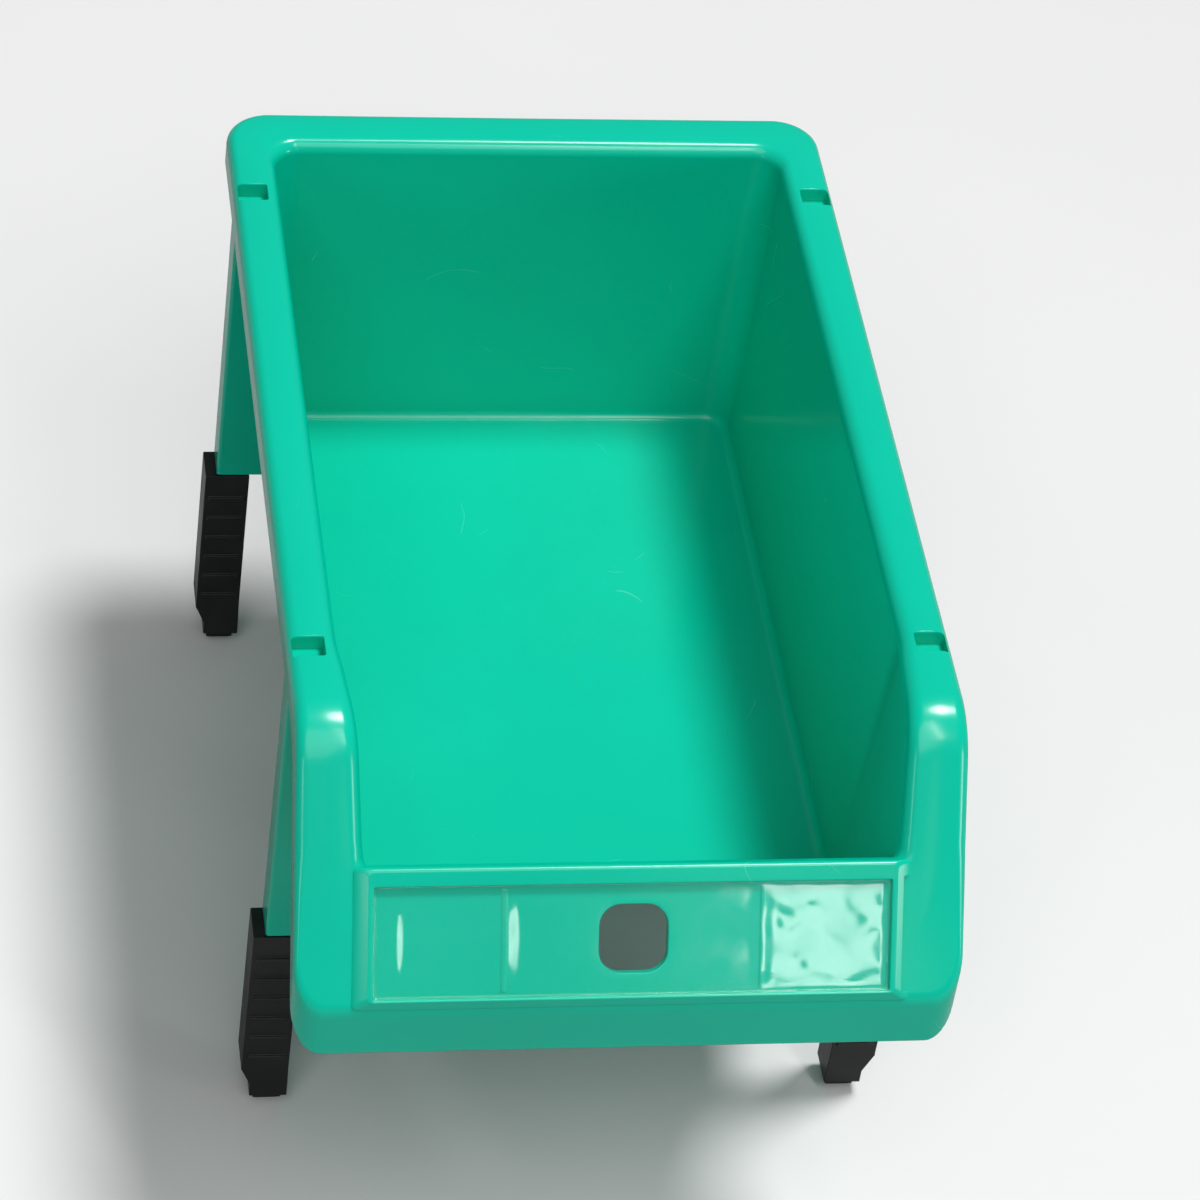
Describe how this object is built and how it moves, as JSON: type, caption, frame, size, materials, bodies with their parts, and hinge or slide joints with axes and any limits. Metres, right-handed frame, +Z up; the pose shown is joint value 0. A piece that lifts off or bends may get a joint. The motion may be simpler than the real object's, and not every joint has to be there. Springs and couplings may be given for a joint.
{
  "type": "stackable storage bin",
  "caption": "Open-front stackable parts bin with a turned-down rim, sloping label panel, slide-in clear cover and plug-in stacking posts",
  "frame": {"origin": "centre of the footprint at the tips of the four posts, where the bin touches the ground", "axes": "X across the width, Y along the depth with the open label front towards -Y and the high rear wall towards +Y, Z up"},
  "size_m": [0.206, 0.34, 0.197],
  "materials": {
    "green_pp": "glossy injection-moulded polypropylene",
    "clear_film": "clear flexible film",
    "black_pp": "black moulded plastic"
  },
  "bodies": {
    "shell": {"bin_shell": "green_pp"},
    "cover": {"label_cover": "clear_film"},
    "post_front_left_body": {"post_front_left": "black_pp"},
    "post_front_right_body": {"post_front_right": "black_pp"},
    "post_rear_left_body": {"post_rear_left": "black_pp"},
    "post_rear_right_body": {"post_rear_right": "black_pp"}
  },
  "joints": [
    {"name": "cover_slide", "type": "slide", "parent": "shell", "child": "cover", "axis": [1, 0, 0], "range_m": [0, 0.15]},
    {"name": "post_front_left_pull", "type": "slide", "parent": "shell", "child": "post_front_left_body", "axis": [0, 0, -1], "range_m": [0, 0.045]},
    {"name": "post_front_right_pull", "type": "slide", "parent": "shell", "child": "post_front_right_body", "axis": [0, 0, -1], "range_m": [0, 0.045]},
    {"name": "post_rear_left_pull", "type": "slide", "parent": "shell", "child": "post_rear_left_body", "axis": [0, 0, -1], "range_m": [0, 0.045]},
    {"name": "post_rear_right_pull", "type": "slide", "parent": "shell", "child": "post_rear_right_body", "axis": [0, 0, -1], "range_m": [0, 0.045]}
  ]
}
